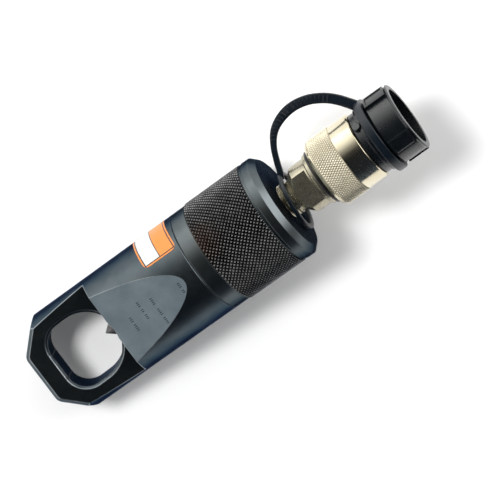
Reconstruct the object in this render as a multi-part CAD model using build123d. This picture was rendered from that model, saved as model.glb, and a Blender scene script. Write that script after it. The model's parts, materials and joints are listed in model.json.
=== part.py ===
from build123d import *
import math
import os

os.makedirs("parts", exist_ok=True)

# Hydraulic nut cutter with an angled head, lying on the flat back of that head. Millimetres.
# Row frame: X runs from the nut opening to the hose end, Z is up from the bench, and the origin
# is on the back flat. Tool frame: X is the bore's axis, X = 0 is the front edge of the grip's knurl,
# and Z leaves the front of the tool.

# Stance
head_tilt = 10.0            # degrees between the back flat and the tool's axis
rim_to_origin = 46.0        # from the origin to the point where the grip would meet the bench
grip_lift = 0.2             # the grip's rim stays this far off the bench

# Fits
running_fit = 0.05          # radial play between a moving piece and its bore
loose_fit = 0.3             # gap between pieces that only pass each other
slip_fit = 0.05             # radial play of a fixed piece in its seat

# Cutter head
head_r = 26.4
seam_x = -7.4               # joint between the head and the barrel
seam_groove = 0.4           # depth of the V where their edges are broken
step_x = -19.3              # row frame: wall where the plate ends and the thick part starts
plate_thickness = 25.3
plate_end_x = -62.0         # row frame: far end of the plate
end_flat_half = 12.6        # half the width of the far end, before its corners are cut
end_corner_r = 5.0
plate_bevel = 1.7
slope_angle = 10.5          # degrees between the front slope and the axis
slope_height = 18.1         # from the axis to the front slope, above the step wall

# Nut opening, in the row frame
opening_half = 16.8
opening_x = -35.5           # centre of its round side
anvil_x = -51.0
anvil_corner_r = 10.4
opening_bevel = 1.15
back_bevel = 0.8

# Inside of the head
socket_wall = 3.4            # barrel's wall round the head's threaded spigot
spigot_r = head_r - socket_wall
spigot_length = 9.8
pocket_wall = 5.0
spring_pocket_r = spigot_r - pocket_wall
pocket_floor_x = -26.0
access_hole_r = 2.9
plan_margin = 5.0           # the plan is drawn this much wider than the head

# Barrel
grip_step = 0.6
grip_r = head_r + grip_step
grip_length = 33.2
grip_groove = 0.7
band_step = 0.4
band_r = head_r + band_step
barrel_end_x = 40.9
barrel_chamfer = 3.0
bore_ledge = 2.0
bore_r = spigot_r - bore_ledge
bore_floor_x = 30.0
oil_hole_r = 3.0
lock_screw_x = -3.7
lock_screw_r = 2.0

# Piston, chisel and spring
stroke = 14.0
oil_gap = 0.6
piston_length = 12.4
rod_r = 11.0
rod_front_x = -38.0
rod_end_gap = 1.0           # left between the rod and the end of its bore at full stroke
rod_bore_end_x = rod_front_x - stroke - rod_end_gap
chisel_r = 9.0
chisel_reach = 26.7         # row frame: from the anvil to the cutting edge at rest
chisel_half_angle = 40.0
chisel_tail_r = 6.0
chisel_tail_length = 12.0
screw_notch = 1.0           # depth of the seat that the set screw bites in
set_screw_x = -33.5
set_screw_r = 2.5
set_screw_length = 4.6
hex_socket = 2.4
guide_ring_start = 1.2
guide_ring_width = 3.0
guide_ring_depth = 1.5
seal_start = 6.2
backup_width = 1.4
seal_width = 3.2
seal_depth = 3.6
wiper_start_x = -29.8
wiper_width = 2.6
wiper_depth = 2.4
spring_wire_r = 1.5
spring_play = 1.3
spring_mean_r = spring_pocket_r - spring_play - spring_wire_r
spring_turns = 6.5
coil_runs = 18              # straight runs in one turn of a coil spring

# Quick coupler half
port_r = 8.55
port_depth = 7.0
neck_r = 7.9
neck_start_x = 45.2
cone_start_x = 46.6
tail_r = 12.3
tail_end_x = 58.9
wrench_flats = 18.4
flats_end_x = 58.0
tail_bore_r = 4.0
valve_bore_r = 7.4
valve_bore_start_x = 52.0
socket_r = 9.4
socket_end_x = 64.4
sleeve_rim_r = 13.4
sleeve_rim_step = 0.6
sleeve_rim_end_x = 61.0
sleeve_r = 11.8
sleeve_end_x = 77.0
seat_x = 71.0
nose_bore_r = 5.0
washer_r = 14.0
washer_width = 1.1
clip_x = 69.2
clip_width = 1.2
clip_r = 13.0
clip_depth = 0.8
collar_start_x = 63.0
collar_r = 17.45
collar_plain_r = 17.1
collar_chamfer = 1.4
collar_knurl_end_x = 77.3
collar_end_x = 87.6
collar_step_x = 68.6
collar_thread_r = 14.8
poppet_r = 6.6
poppet_head = 2.6
poppet_stem_r = 2.2
poppet_nose_r = 3.2
poppet_nose = 1.4
poppet_spring_wire_r = 0.45
poppet_spring_mean_r = 4.2
poppet_spring_turns = 5
guide_x = 55.0
guide_width = 2.0
guide_ports = 5
guide_port_r = 1.2
guide_rim = 1.2
shank_chamfer = 0.8
shank_lead = 1.4
nose_chamfer = 1.0
clip_gap = 2.4
face_seal_r = 0.9
face_seal_inset = 2.7       # from the sleeve's front to the seal's centre
face_seal_stand = 0.36      # from the nose bore to the seal's centre

# Dust cap
plug_start_x = 78.6
plug_gap = 0.25
cap_neck_r = 15.8
cap_rim_x = 90.9
cap_rim_width = 1.6
cap_rim_r = 16.6
cap_groove_r = 14.2
cup_start_x = 97.1
cup_end_x = 110.4
cup_r = 17.0
mouth_r = 14.6
cup_depth = 10.0
lip_r = 17.6
lip_width = 1.4
pad_count = 4
pad_height = 1.7
pad_width = 8.0
pad_first_angle = 67.0      # from the front towards the strap's side
plug_core_r = 9.0
cap_boss_r = 2.1
cap_boss_height = 1.3
cap_boss_angle = 38.0
cap_chamfer = 0.8
lip_chamfer = 0.4
pad_inset = 1.0
cap_floor = 2.4
cap_seal_width = 1.0
cap_seal_outer = 1.2        # from the plug's wall in to the seal
cap_seal_inner = 0.4        # from the plug's core out to the seal

# Strap between the neck and the cap
strap_width = 5.2
strap_thickness = 2.6
neck_ring_x = 44.2
neck_ring_r = 15.9
neck_ring_bore = 12.9
neck_ring_drop = (-2.0, -3.2)
neck_ring_lean = 6.0        # degrees, towards the hose end on the strap's side
cap_ring_r = 18.9
strap_route = [(45.5, 11.5), (50.5, 25.8), (58.0, 33.8), (69.5, 35.6), (81.5, 33.0), (89.6, 25.0),
               (94.8, 18.4)]
bend_share = 0.45           # of the shorter run beside a corner, used up by its arc

# The tool frame seen from the row frame
tilt = math.radians(head_tilt)
axis_x = rim_to_origin - grip_r * math.sin(tilt)
axis_z = grip_lift + grip_r * math.cos(tilt)
tool_plane = Plane(origin=(axis_x, 0, axis_z), x_dir=(math.cos(tilt), 0, math.sin(tilt)),
                   z_dir=(-math.sin(tilt), 0, math.cos(tilt)))
in_row = Location(tool_plane)


def tool_x(row_x):
    """Place on the tool's axis that lies over a place in the row frame."""
    return (row_x - axis_x) / math.cos(tilt)


def above_bench(solid):
    """Mill a solid off at the plane of the head's flat back."""
    side = 8 * head_r
    return solid - Box(side, side, head_r, align=(Align.CENTER, Align.CENTER, Align.MAX))


def rod(x0, x1, radius):
    """Solid cylinder on the tool's axis."""
    cylinder = Cylinder(radius, x1 - x0, align=(Align.CENTER, Align.CENTER, Align.MIN))
    return Pos(x0, 0, 0) * Rot(0, 90, 0) * cylinder


def tube(x0, x1, outer, inner):
    """Ring or tube on the tool's axis."""
    return rod(x0, x1, outer) - rod(x0, x1, inner)


def turned(profile):
    """Revolve a closed outline of (x, radius) points about the tool's axis."""
    return revolve(make_face(Polyline(*profile, close=True)), Axis.X, 360)


def coil(x0, x1, mean_r, wire_r, turns):
    """Coil spring between two end planes, its wire drawn as short straight runs."""
    count = round(turns * coil_runs)
    rise = (x1 - x0 - 2 * wire_r - 2 * slip_fit) / count
    angles = [2 * math.pi * run / coil_runs for run in range(count + 1)]
    points = [(x0 + wire_r + slip_fit + rise * run, mean_r * math.cos(angle), mean_r * math.sin(angle))
              for run, angle in enumerate(angles)]
    path = Polyline(*points)
    section = Plane(origin=path @ 0, z_dir=path % 0) * RegularPolygon(wire_r, 6)
    return sweep(section, path, transition=Transition.RIGHT)


def seam_cutter():
    """Ring of diamond section that breaks the edges of the head and the barrel where they meet."""
    c = seam_groove
    return turned([(seam_x - c, head_r), (seam_x, head_r - c), (seam_x + c, head_r), (seam_x, head_r + c)])


def hex_key_hole(depth):
    """Hexagonal socket, open at Z = 0 and going down."""
    return Pos(0, 0, -depth) * extrude(RegularPolygon(hex_socket / 2, 6, major_radius=False), depth + 1)


def radial_screw(x, r_in, r_out, radius):
    """Headless socket screw that points at the axis from below."""
    screw = Cylinder(radius, r_out - r_in, align=(Align.CENTER, Align.CENTER, Align.MAX))
    screw = screw - hex_key_hole((r_out - r_in) / 2)
    return Pos(x, 0, -r_out) * Rot(180, 0, 0) * screw


def radial_hole(x, r_in, r_out, radius):
    """Cutter for a hole that enters from below."""
    return Pos(x, 0, -r_out) * Cylinder(radius, r_out - r_in, align=(Align.CENTER, Align.CENTER, Align.MIN))


# Piston places, at rest
piston_rear_x = bore_floor_x - oil_gap
piston_front_x = piston_rear_x - piston_length
piston_r = bore_r - running_fit


def opening_outline():
    """Plan of the nut opening: round towards the chisel, flat at the anvil."""
    length = opening_x - anvil_x
    square = Pos(opening_x - length / 2, 0) * Rectangle(length, 2 * opening_half)
    square = fillet(square.vertices().group_by(Axis.X)[0], anvil_corner_r)
    return square + Pos(opening_x, 0) * Circle(opening_half)


def plate_plan():
    """Plan of the whole head: straight sides and a far end with cut corners."""
    side = head_r + plan_margin
    cut_x = plate_end_x + side - end_flat_half
    back = axis_x + head_r
    outline = Polyline((back, -side), (cut_x, -side), (plate_end_x, -end_flat_half),
                       (plate_end_x, end_flat_half), (cut_x, side), (back, side), close=True)
    plan = make_face(outline)
    return fillet(plan.vertices().group_by(Axis.X)[0], end_corner_r)


def cutter_head():
    """Round steel head, milled to an inclined plate with a through opening."""
    height = 4 * head_r
    spigot_end = seam_x + spigot_length
    head = in_row * (rod(tool_x(plate_end_x) - head_r, seam_x, head_r) + rod(seam_x, spigot_end, spigot_r))
    head = head & extrude(plate_plan(), height)
    before_wall = (Align.MAX, Align.CENTER, Align.MIN)
    head = head - Pos(step_x, 0, plate_thickness) * Box(height, height, height, align=before_wall)
    edges = head.edges().filter_by_position(Axis.Z, plate_thickness - 0.01, plate_thickness + 0.01)
    edges = edges.filter_by(lambda e: e.center().X < plate_end_x + end_flat_half)
    edges = edges.filter_by(GeomType.ELLIPSE, reverse=True)
    head = chamfer(edges, plate_bevel)

    slope = Box(height, height, head_r, align=(Align.MIN, Align.CENTER, Align.MIN))
    head = head - in_row * Pos(tool_x(step_x), 0, slope_height) * Rot(0, -slope_angle, 0) * slope

    outline = opening_outline()
    head = head - Pos(0, 0, -1) * extrude(outline, height)
    below_wall = (Align.MAX, Align.CENTER, Align.CENTER)
    before_step = Pos(step_x, 0, 0) * Box(height, height, height, align=below_wall)
    front_bevel = Pos(0, 0, plate_thickness - opening_bevel) * extrude(outline, opening_bevel, taper=-45)
    rear_bevel = Pos(0, 0, back_bevel) * Rot(180, 0, 0) * extrude(outline, back_bevel, taper=-45)
    head = head - (front_bevel & before_step) - rear_bevel

    inner = rod(pocket_floor_x, spigot_end, spring_pocket_r)
    inner += rod(rod_bore_end_x, pocket_floor_x, rod_r + running_fit)
    inner += rod(tool_x(anvil_x + chisel_reach), rod_bore_end_x, chisel_r + running_fit)
    inner += rod(wiper_start_x, wiper_start_x + wiper_width, rod_r + wiper_depth)
    inner += radial_hole(set_screw_x, rod_r, 2 * head_r, access_hole_r)
    return head - in_row * (inner + seam_cutter())


def barrel():
    """Cylinder body with a grip, a threaded front socket and a port in its closed end."""
    groove_x = grip_length + grip_groove
    chamfer_x = barrel_end_x - barrel_chamfer
    shell = turned([(seam_x, 0), (seam_x, head_r), (0, head_r), (0, grip_r), (grip_length, grip_r),
                    (grip_length, band_r - grip_groove), (groove_x, band_r - grip_groove), (groove_x, band_r),
                    (chamfer_x, band_r), (barrel_end_x, band_r - barrel_chamfer), (barrel_end_x, 0)])
    shell -= rod(seam_x, seam_x + spigot_length + loose_fit, spigot_r + slip_fit)
    shell -= rod(seam_x, bore_floor_x, bore_r)
    shell -= rod(barrel_end_x - port_depth, barrel_end_x, port_r + slip_fit)
    shell -= rod(bore_floor_x, barrel_end_x, oil_hole_r)
    shell -= radial_hole(lock_screw_x, spigot_r, grip_r, lock_screw_r + slip_fit) + seam_cutter()
    return above_bench(in_row * shell)


def lock_screw():
    """Screw through the barrel's wall that keeps the head's thread from turning."""
    return in_row * radial_screw(lock_screw_x, spigot_r, head_r - loose_fit, lock_screw_r)


def piston():
    """Piston head and rod in one piece, with grooves for its rings and a socket for the chisel."""
    body = rod(piston_front_x, piston_rear_x, piston_r) + rod(rod_front_x, piston_front_x, rod_r)
    guide_x0 = piston_front_x + guide_ring_start
    body -= tube(guide_x0, guide_x0 + guide_ring_width, piston_r + 1, piston_r - guide_ring_depth)
    seal_x0 = piston_front_x + seal_start
    body -= tube(seal_x0, seal_x0 + backup_width + seal_width, piston_r + 1, piston_r - seal_depth)
    body -= rod(rod_front_x, rod_front_x + chisel_tail_length + loose_fit, chisel_tail_r + slip_fit)
    body -= radial_hole(set_screw_x, chisel_tail_r - screw_notch, rod_r + 1, set_screw_r + slip_fit)
    return in_row * body


def piston_guide_ring():
    x0 = piston_front_x + guide_ring_start
    return in_row * tube(x0, x0 + guide_ring_width, piston_r, piston_r - guide_ring_depth + slip_fit)


def piston_backup_ring():
    x0 = piston_front_x + seal_start
    return in_row * tube(x0, x0 + backup_width, piston_r, piston_r - seal_depth + slip_fit)


def piston_seal():
    """U-shaped lip seal, open towards the oil."""
    x0 = piston_front_x + seal_start + backup_width
    x1 = x0 + seal_width
    inner = piston_r - seal_depth + slip_fit
    middle = (piston_r + inner) / 2
    lip = (piston_r - inner) / 4
    return in_row * turned([(x0, inner), (x0, piston_r), (x1, piston_r), (x1, middle + lip),
                            (x0 + seal_width / 2, middle), (x1, middle - lip), (x1, inner)])


def rod_wiper():
    """Ring in the head that keeps chips away from the spring pocket."""
    outer = rod_r + wiper_depth - slip_fit
    return in_row * tube(wiper_start_x, wiper_start_x + wiper_width, outer, rod_r + running_fit)


def return_spring():
    return in_row * coil(pocket_floor_x, piston_front_x, spring_mean_r, spring_wire_r, spring_turns)


def chisel():
    """Round shank with a wedge whose edge is parallel to the nut's axis, and a tail for the rod."""
    edge_x = anvil_x + chisel_reach
    blank = in_row * rod(tool_x(edge_x) - chisel_r, rod_front_x, chisel_r)
    half = math.radians(chisel_half_angle)
    depth = 2 * chisel_r / math.tan(half)
    wedge = Polyline((edge_x, 0), (edge_x + depth, 2 * chisel_r), (axis_x, 2 * chisel_r),
                     (axis_x, -2 * chisel_r), (edge_x + depth, -2 * chisel_r), close=True)
    blank = blank & Pos(0, 0, -head_r) * extrude(make_face(wedge), 4 * head_r)
    tail = rod(rod_front_x, rod_front_x + chisel_tail_length, chisel_tail_r)
    tail -= radial_hole(set_screw_x, chisel_tail_r - screw_notch, rod_r, set_screw_r + slip_fit)
    return blank + in_row * tail


def chisel_set_screw():
    r_in = chisel_tail_r - screw_notch
    return in_row * radial_screw(set_screw_x, r_in, r_in + set_screw_length, set_screw_r)


def coupler_tail():
    """Threaded shank, neck, cone and body with two wrench flats; the valve sits in its front."""
    shank_x = barrel_end_x - port_depth
    body = turned([(shank_x, 0), (shank_x, port_r - shank_chamfer), (shank_x + shank_lead, port_r),
                   (neck_start_x, port_r), (neck_start_x, neck_r), (cone_start_x, neck_r),
                   (cone_start_x + tail_r - neck_r, tail_r),
                   (tail_end_x, tail_r), (tail_end_x, socket_r), (socket_end_x, socket_r), (socket_end_x, 0)])
    flat = Box(flats_end_x - neck_start_x, 3 * tail_r, tail_r, align=(Align.MIN, Align.CENTER, Align.MIN))
    for side in (0, 180):
        body -= Rot(side, 0, 0) * Pos(neck_start_x, 0, wrench_flats / 2) * flat
    body -= rod(shank_x, socket_end_x, tail_bore_r)
    body -= rod(valve_bore_start_x, socket_end_x, valve_bore_r)
    return in_row * body


def coupler_sleeve():
    """Front tube of the coupler, screwed on the tail; it holds the valve seat and carries the collar."""
    nose_x = sleeve_end_x - nose_chamfer
    body = turned([(tail_end_x, 0), (tail_end_x, sleeve_rim_r - sleeve_rim_step),
                   (tail_end_x + sleeve_rim_step, sleeve_rim_r), (sleeve_rim_end_x, sleeve_rim_r),
                   (sleeve_rim_end_x, sleeve_r), (nose_x, sleeve_r), (sleeve_end_x, sleeve_r - nose_chamfer),
                   (sleeve_end_x, 0)])
    cone = valve_bore_r - nose_bore_r
    body -= turned([(tail_end_x, 0), (tail_end_x, socket_r + slip_fit), (socket_end_x, socket_r + slip_fit),
                    (socket_end_x, valve_bore_r), (seat_x, valve_bore_r), (seat_x + cone, nose_bore_r),
                    (sleeve_end_x, nose_bore_r), (sleeve_end_x, 0)])
    body -= tube(clip_x, clip_x + clip_width, clip_r, sleeve_r - clip_depth)
    seal_x = sleeve_end_x - face_seal_inset
    body -= rod(seal_x - face_seal_r, seal_x + face_seal_r, nose_bore_r + face_seal_stand + face_seal_r)
    return in_row * body


def coupler_face_seal():
    centre = Pos(sleeve_end_x - face_seal_inset, nose_bore_r + face_seal_stand)
    section = centre * RegularPolygon(face_seal_r - slip_fit, 8)
    return in_row * revolve(section, Axis.X, 360)


def coupler_washer():
    return in_row * tube(sleeve_rim_end_x, sleeve_rim_end_x + washer_width, washer_r, sleeve_r + slip_fit)


def collar_clip():
    """Split wire ring that keeps the collar on the sleeve."""
    ring = tube(clip_x + slip_fit, clip_x + clip_width - slip_fit, clip_r, sleeve_r - clip_depth + slip_fit)
    return in_row * (ring - Pos(clip_x, 0, -clip_r) * Box(4 * clip_width, clip_gap, 2 * clip_r))


def coupler_collar():
    """Free-turning screw collar, knurled at the rear and threaded inside at the front."""
    c = collar_chamfer
    x1 = collar_end_x
    r1 = collar_plain_r
    body = turned([(collar_start_x, 0), (collar_start_x, collar_r - c), (collar_start_x + c, collar_r),
                   (collar_knurl_end_x, collar_r), (collar_knurl_end_x + collar_r - r1, r1), (x1 - c / 2, r1),
                   (x1, r1 - c / 2), (x1, 0)])
    body -= rod(collar_start_x, collar_step_x, sleeve_r + running_fit)
    body -= rod(collar_step_x, x1, collar_thread_r)
    return in_row * body


def check_poppet():
    """Cone valve that the mating half pushes back to let the oil through."""
    cone = poppet_r - poppet_nose_r
    cone_x = seat_x + valve_bore_r - poppet_r - 2 * running_fit
    return in_row * turned([(guide_x + guide_width / 2, 0), (guide_x + guide_width / 2, poppet_stem_r),
                            (cone_x - poppet_head, poppet_stem_r), (cone_x - poppet_head, poppet_r),
                            (cone_x, poppet_r), (cone_x + cone, poppet_nose_r),
                            (cone_x + cone + poppet_nose, poppet_nose_r), (cone_x + cone + poppet_nose, 0)])


def poppet_guide():
    """Drilled disc that guides the poppet's stem and backs its spring."""
    disc = tube(guide_x, guide_x + guide_width, valve_bore_r - slip_fit, poppet_stem_r + running_fit)
    for port in range(guide_ports):
        hole = Rot(port * 360 / guide_ports, 0, 0) * Pos(0, 0, (valve_bore_r + poppet_stem_r) / 2)
        disc -= hole * rod(guide_x, guide_x + guide_width, guide_port_r)
    stop = tube(valve_bore_start_x, guide_x, valve_bore_r - slip_fit, valve_bore_r - guide_rim)
    return in_row * (disc + stop)


def poppet_spring():
    x1 = seat_x + valve_bore_r - poppet_r - 2 * running_fit - poppet_head
    x0 = guide_x + guide_width
    return in_row * coil(x0, x1, poppet_spring_mean_r, poppet_spring_wire_r, poppet_spring_turns)


def dust_cap():
    """Plug that screws into the collar, with a groove for the strap's ring and an open, ribbed cup."""
    plug_r = collar_thread_r - plug_gap
    rim_end = cap_rim_x + cap_rim_width
    neck_x = collar_end_x + loose_fit
    c = cap_chamfer
    body = turned([(plug_start_x, 0), (plug_start_x, plug_r - c), (plug_start_x + c, plug_r),
                   (neck_x, plug_r), (neck_x, cap_neck_r), (cap_rim_x, cap_neck_r), (cap_rim_x, cap_rim_r),
                   (rim_end, cap_rim_r), (rim_end, cap_groove_r), (cup_start_x, cap_groove_r),
                   (cup_start_x, cup_r - c), (cup_start_x + c, cup_r), (cup_end_x - lip_width, cup_r),
                   (cup_end_x - lip_width / 2, lip_r), (cup_end_x, lip_r - lip_chamfer), (cup_end_x, 0)])
    pad_start = cup_start_x + pad_inset
    pad_end = cup_end_x - lip_width
    bar = Box(pad_end - pad_start, pad_width, 2 * cup_r, align=(Align.MIN, Align.CENTER, Align.MIN))
    pad = Pos(pad_start, 0, mouth_r) * bar & rod(pad_start, pad_end, cup_r + pad_height)
    for number in range(pad_count):
        body += Rot(-pad_first_angle - number * 360 / pad_count, 0, 0) * pad
    body -= rod(cup_end_x - cup_depth, cup_end_x, mouth_r)
    body -= rod(plug_start_x, cup_end_x - cup_depth - cap_floor, plug_core_r)
    boss = Cylinder(cap_boss_r, cap_rim_r + cap_boss_height, align=(Align.CENTER, Align.CENTER, Align.MIN))
    boss = Pos(neck_x + loose_fit + cap_boss_r, 0, 0) * Rot(-cap_boss_angle, 0, 0) * boss
    return in_row * (body + (boss - rod(plug_start_x, cup_end_x, cap_groove_r)))


def cap_seal():
    """Flat ring on the plug's face."""
    outer = collar_thread_r - plug_gap - cap_seal_outer
    return in_row * tube(plug_start_x - cap_seal_width, plug_start_x, outer, plug_core_r + cap_seal_inner)


def bend_radii(points):
    """Largest even arc for each corner of a route."""
    radii = []
    for before, corner, after in zip(points, points[1:], points[2:]):
        run_in = Vector(*corner) - Vector(*before)
        run_out = Vector(*after) - Vector(*corner)
        half_turn = math.radians(run_in.get_angle(run_out) / 2)
        radii.append(bend_share * min(run_in.length, run_out.length) / math.tan(half_turn))
    return radii


def cap_strap():
    """Moulded strap: a wide ring round the neck, an arched band and a ring in the cap's groove."""
    rim_end = cap_rim_x + cap_rim_width
    cap_ring = tube(rim_end + loose_fit, cup_start_x - loose_fit, cap_ring_r, cap_groove_r + loose_fit)
    half = strap_thickness / 2
    neck_ring = tube(-half, half, neck_ring_r, neck_ring_bore)
    neck_ring = Pos(neck_ring_x, *neck_ring_drop) * Rot(0, 0, -neck_ring_lean) * neck_ring
    path = FilletPolyline(*strap_route, radius=bend_radii(strap_route))
    band = Pos(0, 0, -half) * extrude(trace(path, strap_width), strap_thickness)
    return in_row * (cap_ring + neck_ring + band)


makers = {
    "cutter_head": cutter_head, "barrel": barrel, "thread_lock_screw": lock_screw, "piston": piston,
    "piston_guide_ring": piston_guide_ring, "piston_backup_ring": piston_backup_ring,
    "piston_seal": piston_seal, "rod_wiper": rod_wiper, "return_spring": return_spring, "chisel": chisel,
    "chisel_set_screw": chisel_set_screw, "coupler_tail": coupler_tail, "coupler_sleeve": coupler_sleeve,
    "coupler_face_seal": coupler_face_seal, "coupler_washer": coupler_washer, "collar_clip": collar_clip,
    "coupler_collar": coupler_collar, "check_poppet": check_poppet, "poppet_guide": poppet_guide,
    "poppet_spring": poppet_spring, "dust_cap": dust_cap, "cap_seal": cap_seal, "cap_strap": cap_strap,
}

for node, make in makers.items():
    solid = make()
    export_step(solid, f"parts/{node}.step")
    print(f"{node}: {solid.volume:.0f} mm3, centre {tuple(round(c, 1) for c in solid.center(CenterOf.MASS))}")
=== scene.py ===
import json
import math
import bmesh
import bpy
import numpy as np
from mathutils import Matrix


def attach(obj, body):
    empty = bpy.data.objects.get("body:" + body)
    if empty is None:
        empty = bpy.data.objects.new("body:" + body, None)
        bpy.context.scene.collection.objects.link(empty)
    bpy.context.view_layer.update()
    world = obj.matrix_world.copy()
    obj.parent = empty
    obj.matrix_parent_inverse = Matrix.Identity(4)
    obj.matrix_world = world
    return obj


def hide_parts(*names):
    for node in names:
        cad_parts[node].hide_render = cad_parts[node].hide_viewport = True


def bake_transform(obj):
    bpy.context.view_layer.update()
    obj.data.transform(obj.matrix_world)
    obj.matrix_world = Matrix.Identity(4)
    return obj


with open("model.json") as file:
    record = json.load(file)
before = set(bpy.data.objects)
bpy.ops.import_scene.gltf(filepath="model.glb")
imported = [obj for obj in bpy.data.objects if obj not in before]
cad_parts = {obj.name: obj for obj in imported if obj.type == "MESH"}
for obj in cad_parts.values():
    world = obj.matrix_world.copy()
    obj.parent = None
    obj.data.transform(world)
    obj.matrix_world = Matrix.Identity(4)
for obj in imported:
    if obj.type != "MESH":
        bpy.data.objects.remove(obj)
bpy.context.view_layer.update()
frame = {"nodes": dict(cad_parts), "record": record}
print("frame loaded")

# Places are in the tool's own frame, in millimetres, as in the part's source: x runs along the bore
# from the front edge of the grip's knurl to the hose end, z leaves the front, y is the strap's side.
stance = {"tilt": math.radians(10.0), "rimToOrigin": 46.0, "gripRadius": 27.0, "gripLift": 0.2}
cosTilt, sinTilt = math.cos(stance["tilt"]), math.sin(stance["tilt"])
originX = stance["rimToOrigin"] - stance["gripRadius"] * sinTilt
originZ = stance["gripLift"] + stance["gripRadius"] * cosTilt
boreInRow = (originX * cosTilt + originZ * sinTilt, 0, originZ * cosTilt - originX * sinTilt)
turn = 2 * math.pi


def toRow(x, y, z):
    # tool frame in mm to row frame in m, for numbers or whole arrays
    x, y, z = np.broadcast_arrays(np.asarray(x, float), y, z)
    return np.stack([originX + x * cosTilt - z * sinTilt, y, originZ + x * sinTilt + z * cosTilt], -1) / 1000


def gridMesh(name, points, aroundU=False, aroundV=False, knurlFrom=None, sharp=28, marks=None):
    # surface through a grid of points, closed along u or v when asked; a face has four neighbouring points,
    # or where a knurl begins at a row, two triangles whose shared side joins the knurl's low points
    countU, countV = points.shape[:2]
    u, v = np.meshgrid(np.arange(countU - (not aroundU)), np.arange(countV - (not aroundV)), indexing="ij")
    corners = np.stack([u * countV + v, (u + 1) % countU * countV + v,
                        (u + 1) % countU * countV + (v + 1) % countV, u * countV + (v + 1) % countV], -1)
    corners = corners.reshape(-1, 4)
    if knurlFrom is not None:
        odd = ((u + v - knurlFrom) % 2 == 0).reshape(-1)
        corners[odd] = np.roll(corners[odd], -1, axis=1)
        corners = np.concatenate([corners[:, [0, 1, 2]], corners[:, [0, 2, 3]]])
    mesh = bpy.data.meshes.new(name)
    mesh.from_pydata(points.reshape(-1, 3).tolist(), [], corners.tolist())
    if marks is not None:
        values = mesh.attributes.new("marks", "FLOAT_VECTOR", "POINT")
        values.data.foreach_set("vector", np.ascontiguousarray(marks, np.float32).reshape(-1))
    return finishMesh(name, mesh, sharp)


def finishMesh(name, mesh, sharp=28):
    # merges doubled points, turns faces outwards, and keeps edges above the angle crisp
    work = bmesh.new()
    work.from_mesh(mesh)
    bmesh.ops.remove_doubles(work, verts=work.verts, dist=2e-6)
    bmesh.ops.dissolve_degenerate(work, edges=work.edges, dist=1e-7)
    bmesh.ops.recalc_face_normals(work, faces=work.faces)
    work.to_mesh(mesh)
    work.free()
    mesh.shade_smooth()
    mesh.set_sharp_from_angle(angle=math.radians(sharp))
    piece = bpy.data.objects.new(name, mesh)
    bpy.context.scene.collection.objects.link(piece)
    return piece


def applied(piece):
    # the piece with its modifiers worked into its mesh
    made = bpy.data.meshes.new_from_object(piece.evaluated_get(bpy.context.evaluated_depsgraph_get()))
    piece.modifiers.clear()
    piece.data = made
    return piece


def cutBy(piece, cutter, sharp=28, operation="DIFFERENCE"):
    # takes the cutter's shape out of the piece, or joins it on; the cutter goes
    boolean = piece.modifiers.new("cut", "BOOLEAN")
    boolean.operation = operation
    boolean.object = cutter
    boolean.solver = "EXACT"
    applied(piece)
    piece.data.set_sharp_from_angle(angle=math.radians(sharp))
    bpy.data.objects.remove(cutter)
    return piece


def softened(corners, radius, closed=True):
    # outline whose corners give way to short arcs: each is a quadratic curve from radius before the
    # corner to radius after it, with one more point beside each end so that flats stay flat
    corners = np.asarray(corners, float)
    before, after = np.roll(corners, 1, 0) - corners, np.roll(corners, -1, 0) - corners
    lengths = [np.linalg.norm(d, axis=1)[:, None] for d in (before, after)]
    reach = [np.minimum(radius, 0.42 * length) for length in lengths]
    start, end = corners + before / lengths[0] * reach[0], corners + after / lengths[1] * reach[1]
    t = np.array([0, 0.25, 0.5, 0.75, 1.0])[None, :, None]
    arc = (1 - t) ** 2 * start[:, None] + 2 * t * (1 - t) * corners[:, None] + t ** 2 * end[:, None]
    ahead = start[:, None] + (before / lengths[0] * reach[0])[:, None] * 0.12
    behind = end[:, None] + (after / lengths[1] * reach[1])[:, None] * 0.12
    rows = np.concatenate([ahead, arc, behind], 1)
    if not closed:
        rows[0], rows[-1] = corners[0], corners[-1]
    return rows.reshape(-1, 2)


def angles(count):
    return np.arange(count) / count * turn


def around(x, radius, angle):
    # points on circles about the bore's axis; angle 0 is the front and grows towards +y
    return toRow(x, radius * np.sin(angle), radius * np.cos(angle))


def turnedPiece(name, outline, count=128, soft=0.25, sharp=28):
    # a closed outline of (x, radius) turned about the bore's axis
    rows = softened(outline, soft)
    angle = angles(count)[None, :]
    return gridMesh(name, around(rows[:, :1], rows[:, 1:], angle), aroundU=True, aroundV=True, sharp=sharp)


def place(piece, body, slot, *nodes):
    # rides on a body, takes the slot's finish first and stands for the CAD nodes named
    if not len(piece.data.materials):
        piece.data.materials.append(finish[slot])
    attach(piece, body)
    if nodes:
        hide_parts(*nodes)
    return piece


# Materials: every finish is worked out on the piece's own place, in the tool's frame and in mm

def surface(name, **settings):
    # new material and its shader, with values on the shader's own sockets
    material = bpy.data.materials.new(name)
    material.use_nodes = True
    shader = material.node_tree.nodes["Principled BSDF"]
    for socket, value in settings.items():
        shader.inputs[socket.replace("_", " ")].default_value = value
    return material, shader


def node(owner, kind, inputs=None, **options):
    made = owner.node_tree.nodes.new("ShaderNode" + kind)
    for option, value in options.items():
        setattr(made, option, value)
    for socket, value in (inputs or {}).items():
        target = made.inputs[socket]
        if isinstance(value, bpy.types.NodeSocket):
            owner.node_tree.links.new(value, target)
        else:
            target.default_value = value
    return made


def connect(owner, output, target):
    owner.node_tree.links.new(output, target)


def toolPlace(owner, scale=(1, 1, 1)):
    # object coordinates turned so that x runs along the bore, in mm, then scaled
    coordinate = node(owner, "TexCoord").outputs["Object"]
    moved = node(owner, "Mapping", {"Vector": coordinate, "Rotation": (0, stance["tilt"], 0),
                                    "Scale": (1000, 1000, 1000)}).outputs[0]
    return node(owner, "VectorMath", {0: moved, 1: scale}, operation="MULTIPLY").outputs[0]


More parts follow.
